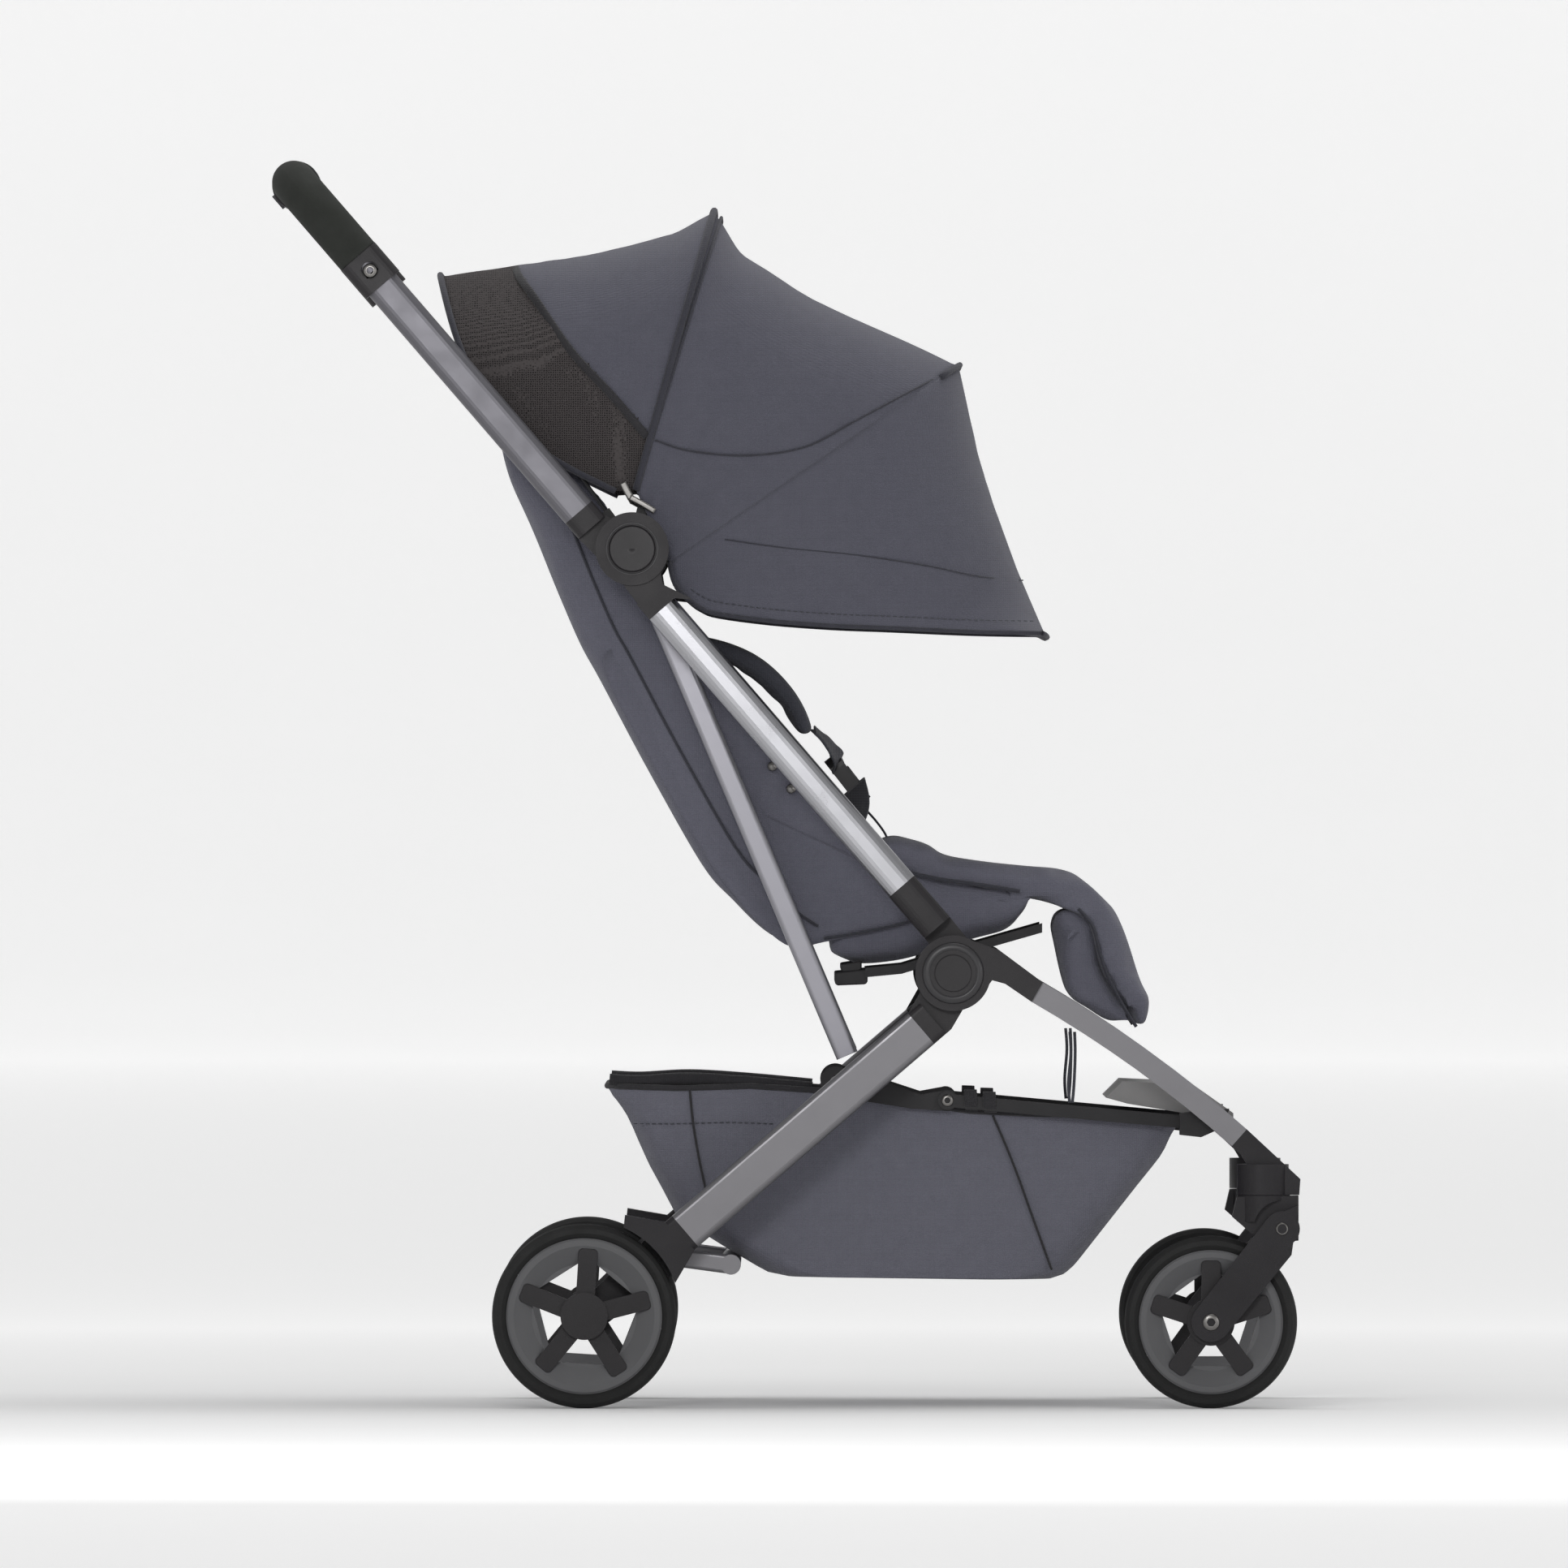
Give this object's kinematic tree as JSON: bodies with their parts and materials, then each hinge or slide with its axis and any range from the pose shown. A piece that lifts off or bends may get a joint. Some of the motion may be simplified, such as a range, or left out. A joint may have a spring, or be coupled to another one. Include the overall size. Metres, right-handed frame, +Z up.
{
  "type": "baby stroller",
  "caption": "Compact folding baby stroller with reclining seat, canopy, storage basket, folding handle and swivelling front wheels.",
  "frame": {"origin": "centre of the bounding box's base, on the floor between the wheels", "axes": "+X forwards, +Y to the rider's left, +Z up"},
  "size_m": [0.8734, 0.464, 1.0584],
  "materials": {
    "satin_metal": "satin anodised",
    "frame_metal": "warm grey metallic paint",
    "plastic": "fine moulded texture",
    "rim": "satin grey",
    "button": "smooth",
    "rubber": "matt rubber",
    "foam": "fine cellular foam",
    "board": "ribbed",
    "basket_cloth": "woven polyester",
    "seat_cloth": "woven polyester, slate"
  },
  "bodies": {
    "rear_frame": {"rear_legs": "frame_metal", "rear_hinge_ends": "plastic", "rear_feet": "plastic", "rear_cross_tube": "frame_metal", "frame_pins": "satin_metal", "basket": "basket_cloth"},
    "brake": {"brake_pedal": "plastic"},
    "rear_wheel_right": {"rear_tyre_right": "rubber", "rear_rim_right": "rim", "rear_star_right": "plastic"},
    "rear_wheel_left": {"rear_tyre_left": "rubber", "rear_rim_left": "rim", "rear_star_left": "plastic"},
    "main_frame": {"main_tubes": "satin_metal", "main_hinge_ends": "plastic", "mid_hinge_housings": "plastic", "mid_hinge_caps": "plastic", "mid_hinge_pins": "satin_metal", "seat_rails": "plastic", "seat_cushion": "seat_cloth", "canopy_rear_bow": "plastic", "canopy_rear_panel": "seat_cloth", "harness_buckle": "plastic"},
    "buckle_release": {"buckle_button": "button"},
    "handle": {"handle_tubes": "frame_metal", "handle_hinge_ends": "plastic", "handle_collars": "plastic", "handlebar_core": "frame_metal", "handle_grip": "foam", "control_housing": "plastic"},
    "slider": {"fold_slider": "button"},
    "trigger": {"fold_trigger": "button"},
    "front_frame": {"front_legs": "frame_metal", "front_hubs": "plastic", "lower_hinge_caps": "plastic", "caster_housings": "plastic", "rail_brackets": "plastic", "footrest": "board"},
    "caster_right": {"caster_block_right": "plastic"},
    "fork_arm_right": {"fork_right": "plastic"},
    "front_wheel_right": {"front_tyre_right": "rubber", "front_rim_right": "rim", "front_star_right": "plastic"},
    "caster_left": {"caster_block_left": "plastic"},
    "fork_arm_left": {"fork_left": "plastic"},
    "front_wheel_left": {"front_tyre_left": "rubber", "front_rim_left": "rim", "front_star_left": "plastic"},
    "struts": {"back_struts": "frame_metal"},
    "cranks": {"basket_cranks": "plastic"},
    "rails": {"basket_rails": "plastic"},
    "backrest": {"backrest": "seat_cloth", "harness_pads": "seat_cloth"},
    "legrest": {"legrest": "seat_cloth"},
    "canopy_mid": {"canopy_mid_bow": "plastic", "canopy_mid_panel": "seat_cloth"},
    "canopy_front": {"canopy_front_bow": "plastic", "canopy_visor": "seat_cloth"}
  },
  "joints": [
    {"name": "fold", "type": "hinge", "parent": "rear_frame", "child": "main_frame", "pos_m": [0.143, 0, 0.368], "axis": [0, -1, 0], "range_deg": [0, 80], "deforming": ["basket"]},
    {"name": "handle_fold", "type": "hinge", "parent": "main_frame", "child": "handle", "pos_m": [-0.12843, 0, 0.72684], "axis": [0, 1, 0], "range_deg": [0, 165]},
    {"name": "front_leg_fold", "type": "hinge", "parent": "rear_frame", "child": "front_frame", "pos_m": [0.143, 0, 0.368], "axis": [0, 1, 0], "range_deg": [0, 60]},
    {"name": "strut_turn", "type": "hinge", "parent": "main_frame", "child": "struts", "pos_m": [-0.12843, 0, 0.72684], "axis": [0, -1, 0], "range_deg": [0, 13]},
    {"name": "crank_turn", "type": "hinge", "parent": "rear_frame", "child": "cranks", "pos_m": [0.044, 0, 0.2754], "axis": [0, -1, 0], "range_deg": [0, 49.2]},
    {"name": "rail_turn", "type": "hinge", "parent": "front_frame", "child": "rails", "pos_m": [0.345, 0, 0.241], "axis": [0, 1, 0], "range_deg": [0, 20.2]},
    {"name": "caster_swivel_right", "type": "hinge", "parent": "front_frame", "child": "caster_right", "pos_m": [0.405, -0.208, 0.15], "axis": [0, 0, 1], "continuous": true},
    {"name": "suspension_right", "type": "hinge", "parent": "caster_right", "child": "fork_arm_right", "pos_m": [0.421, -0.21, 0.152], "axis": [0, 1, 0], "range_deg": [0, 8], "stiffness_Nm_per_rad": 25, "springref_deg": -14.32},
    {"name": "front_wheel_spin_right", "type": "hinge", "parent": "fork_arm_right", "child": "front_wheel_right", "pos_m": [0.361, -0.21, 0.073], "axis": [0, 1, 0], "continuous": true},
    {"name": "rear_wheel_spin_right", "type": "hinge", "parent": "rear_frame", "child": "rear_wheel_right", "pos_m": [-0.169, -0.21, 0.078], "axis": [0, 1, 0], "continuous": true},
    {"name": "caster_swivel_left", "type": "hinge", "parent": "front_frame", "child": "caster_left", "pos_m": [0.405, 0.208, 0.15], "axis": [0, 0, 1], "continuous": true},
    {"name": "suspension_left", "type": "hinge", "parent": "caster_left", "child": "fork_arm_left", "pos_m": [0.421, 0.21, 0.152], "axis": [0, 1, 0], "range_deg": [0, 8], "stiffness_Nm_per_rad": 25, "springref_deg": -14.32},
    {"name": "front_wheel_spin_left", "type": "hinge", "parent": "fork_arm_left", "child": "front_wheel_left", "pos_m": [0.361, 0.21, 0.073], "axis": [0, 1, 0], "continuous": true},
    {"name": "rear_wheel_spin_left", "type": "hinge", "parent": "rear_frame", "child": "rear_wheel_left", "pos_m": [-0.169, 0.21, 0.078], "axis": [0, 1, 0], "continuous": true},
    {"name": "brake_press", "type": "hinge", "parent": "rear_frame", "child": "brake", "pos_m": [-0.125, -0.165, 0.124], "axis": [0, -1, 0], "range_deg": [0, 14]},
    {"name": "recline", "type": "hinge", "parent": "main_frame", "child": "backrest", "pos_m": [0.025, 0, 0.38], "axis": [0, 1, 0], "range_deg": [-25, 0]},
    {"name": "legrest_raise", "type": "hinge", "parent": "main_frame", "child": "legrest", "pos_m": [0.229, 0, 0.425], "axis": [0, -1, 0], "range_deg": [0, 55]},
    {"name": "canopy_close_mid", "type": "hinge", "parent": "main_frame", "child": "canopy_mid", "pos_m": [-0.12843, 0, 0.72684], "axis": [0, -1, 0], "range_deg": [0, 44]},
    {"name": "canopy_close", "type": "hinge", "parent": "canopy_mid", "child": "canopy_front", "pos_m": [-0.12843, 0, 0.72684], "axis": [0, -1, 0], "range_deg": [0, 42], "deforming": ["canopy_mid_panel", "canopy_rear_panel"]},
    {"name": "buckle_press", "type": "slide", "parent": "main_frame", "child": "buckle_release", "axis": [-0.788, 0, -0.6157], "range_m": [0, 0.002], "stiffness_N_per_m": 800, "springref_m": -0.001},
    {"name": "fold_slide", "type": "slide", "parent": "handle", "child": "slider", "axis": [0, 1, 0], "range_m": [0, 0.008], "stiffness_N_per_m": 300, "springref_m": -0.002},
    {"name": "fold_squeeze", "type": "hinge", "parent": "handle", "child": "trigger", "pos_m": [-0.39599, 0, 1.03222], "axis": [0, 1, 0], "range_deg": [0, 6], "stiffness_Nm_per_rad": 2, "springref_deg": -5.73}
  ],
  "couplings": [
    {"joint": "handle_fold", "follows": "fold", "ratio": 2.0625},
    {"joint": "front_leg_fold", "follows": "fold", "ratio": 0.75},
    {"joint": "strut_turn", "follows": "fold", "ratio": 0.1625},
    {"joint": "crank_turn", "follows": "fold", "ratio": 0.615},
    {"joint": "rail_turn", "follows": "fold", "ratio": 0.2525},
    {"joint": "canopy_close_mid", "follows": "canopy_close", "ratio": 1.0476}
  ]
}
